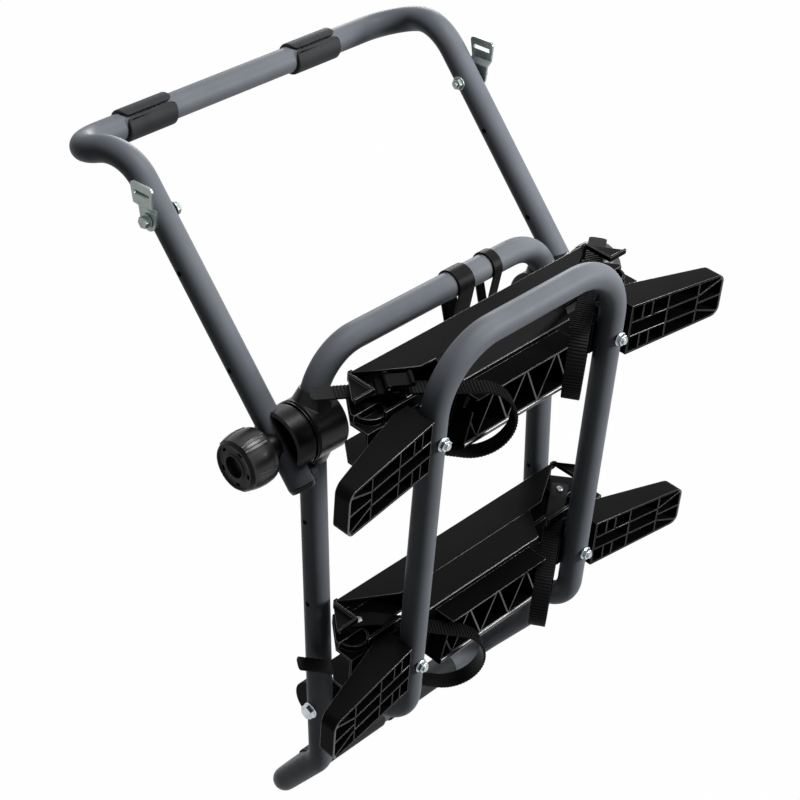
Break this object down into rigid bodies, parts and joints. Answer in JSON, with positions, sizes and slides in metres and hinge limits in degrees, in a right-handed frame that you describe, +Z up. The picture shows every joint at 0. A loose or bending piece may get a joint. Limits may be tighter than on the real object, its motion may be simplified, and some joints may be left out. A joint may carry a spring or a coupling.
{
  "type": "trunk mounted bike rack",
  "caption": "Folding trunk mounted bike rack: bent tube frame with clamp hubs, a leaning upper frame with window pads, and a folding platform with ribbed wheel trays and toothed straps.",
  "frame": {"origin": "middle of the bottom bar's axis, where the rack rests on the bumper", "axes": "+X along the bars to the rack's right as seen from behind the car, +Y towards the car, +Z up"},
  "size_m": [0.636, 0.5314, 0.9304],
  "materials": {
    "tube": "satin powder coat",
    "moulded": "satin, moulded",
    "rubber": "matt",
    "strap": "satin, toothed",
    "zinc": "zinc plated"
  },
  "bodies": {
    "main_frame": {"main_tube": "tube", "bottom_sleeve_left": "rubber", "bottom_sleeve_right": "rubber", "inner_hub_left": "moulded", "inner_hub_right": "moulded", "hub_bolt_left": "zinc", "hub_bolt_right": "zinc", "hinge_cheek_left": "moulded", "hinge_cheek_right": "moulded", "pivot_bolt_left": "zinc", "pivot_bolt_right": "zinc", "pivot_nuts": "zinc", "hold_strap_wide": "strap", "hold_strap_narrow": "strap"},
    "upper_frame": {"upper_tube": "tube", "window_pad_left": "rubber", "window_pad_right": "rubber", "outer_hub_left": "moulded", "outer_hub_right": "moulded", "clamp_collar_left": "moulded", "clamp_collar_right": "moulded", "tube_end_plugs": "moulded", "bracket_bolts": "zinc", "bracket_nuts": "zinc"},
    "knob_left": {"knob_left": "moulded"},
    "knob_right": {"knob_right": "moulded"},
    "strap_bracket_left": {"strap_bracket_left": "zinc"},
    "strap_bracket_right": {"strap_bracket_right": "zinc"},
    "platform": {"platform_tube": "tube", "hinge_bracket_left": "tube", "hinge_bracket_right": "tube", "upper_tray": "moulded", "lower_tray": "moulded", "tray_end_upper_left": "moulded", "tray_end_upper_right": "moulded", "tray_end_lower_left": "moulded", "tray_end_lower_right": "moulded", "tray_end_screws": "zinc", "tray_bolts": "zinc", "tray_nuts": "zinc", "strap_upper_left": "strap", "strap_upper_right": "strap", "strap_lower_left": "strap", "strap_lower_right": "strap", "strap_rivets": "zinc", "buckle_upper_left": "moulded", "buckle_upper_right": "moulded", "buckle_lower_left": "moulded", "buckle_lower_right": "moulded", "buckle_pins": "zinc"},
    "lever_upper_left": {"lever_upper_left": "moulded"},
    "lever_upper_right": {"lever_upper_right": "moulded"},
    "lever_lower_left": {"lever_lower_left": "moulded"},
    "lever_lower_right": {"lever_lower_right": "moulded"}
  },
  "joints": [
    {"name": "upper_frame_fold", "type": "hinge", "parent": "main_frame", "child": "upper_frame", "pos_m": [0, -0.095, 0.624], "axis": [-1, 0, 0], "range_deg": [-39, 110]},
    {"name": "knob_left_turn", "type": "hinge", "parent": "main_frame", "child": "knob_left", "pos_m": [-0.297, -0.095, 0.624], "axis": [1, 0, 0], "continuous": true},
    {"name": "knob_right_turn", "type": "hinge", "parent": "main_frame", "child": "knob_right", "pos_m": [0.297, -0.095, 0.624], "axis": [1, 0, 0], "continuous": true},
    {"name": "strap_bracket_left_swing", "type": "hinge", "parent": "upper_frame", "child": "strap_bracket_left", "pos_m": [-0.267, 0.084, 0.8419], "axis": [1, 0, 0], "range_deg": [-60, 60]},
    {"name": "strap_bracket_right_swing", "type": "hinge", "parent": "upper_frame", "child": "strap_bracket_right", "pos_m": [0.267, 0.084, 0.8419], "axis": [1, 0, 0], "range_deg": [-60, 60]},
    {"name": "platform_fold", "type": "hinge", "parent": "main_frame", "child": "platform", "pos_m": [0, -0.095, 0.205], "axis": [1, 0, 0], "range_deg": [0, 85]},
    {"name": "lever_upper_left_lift", "type": "hinge", "parent": "platform", "child": "lever_upper_left", "pos_m": [-0.17301, -0.18794, 0.71042], "axis": [-0.5592, -0.8256, -0.0759], "range_deg": [0, 75], "stiffness_Nm_per_rad": 0.02, "springref_deg": -20.05},
    {"name": "lever_upper_right_lift", "type": "hinge", "parent": "platform", "child": "lever_upper_right", "pos_m": [0.17301, -0.18794, 0.71042], "axis": [-0.5592, 0.8256, 0.0759], "range_deg": [0, 75], "stiffness_Nm_per_rad": 0.02, "springref_deg": -20.05},
    {"name": "lever_lower_left_lift", "type": "hinge", "parent": "platform", "child": "lever_lower_left", "pos_m": [-0.17832, -0.14352, 0.26617], "axis": [-0.5592, -0.8256, -0.0759], "range_deg": [0, 75], "stiffness_Nm_per_rad": 0.02, "springref_deg": -20.05},
    {"name": "lever_lower_right_lift", "type": "hinge", "parent": "platform", "child": "lever_lower_right", "pos_m": [0.17832, -0.14352, 0.26617], "axis": [-0.5592, 0.8256, 0.0759], "range_deg": [0, 75], "stiffness_Nm_per_rad": 0.02, "springref_deg": -20.05}
  ]
}
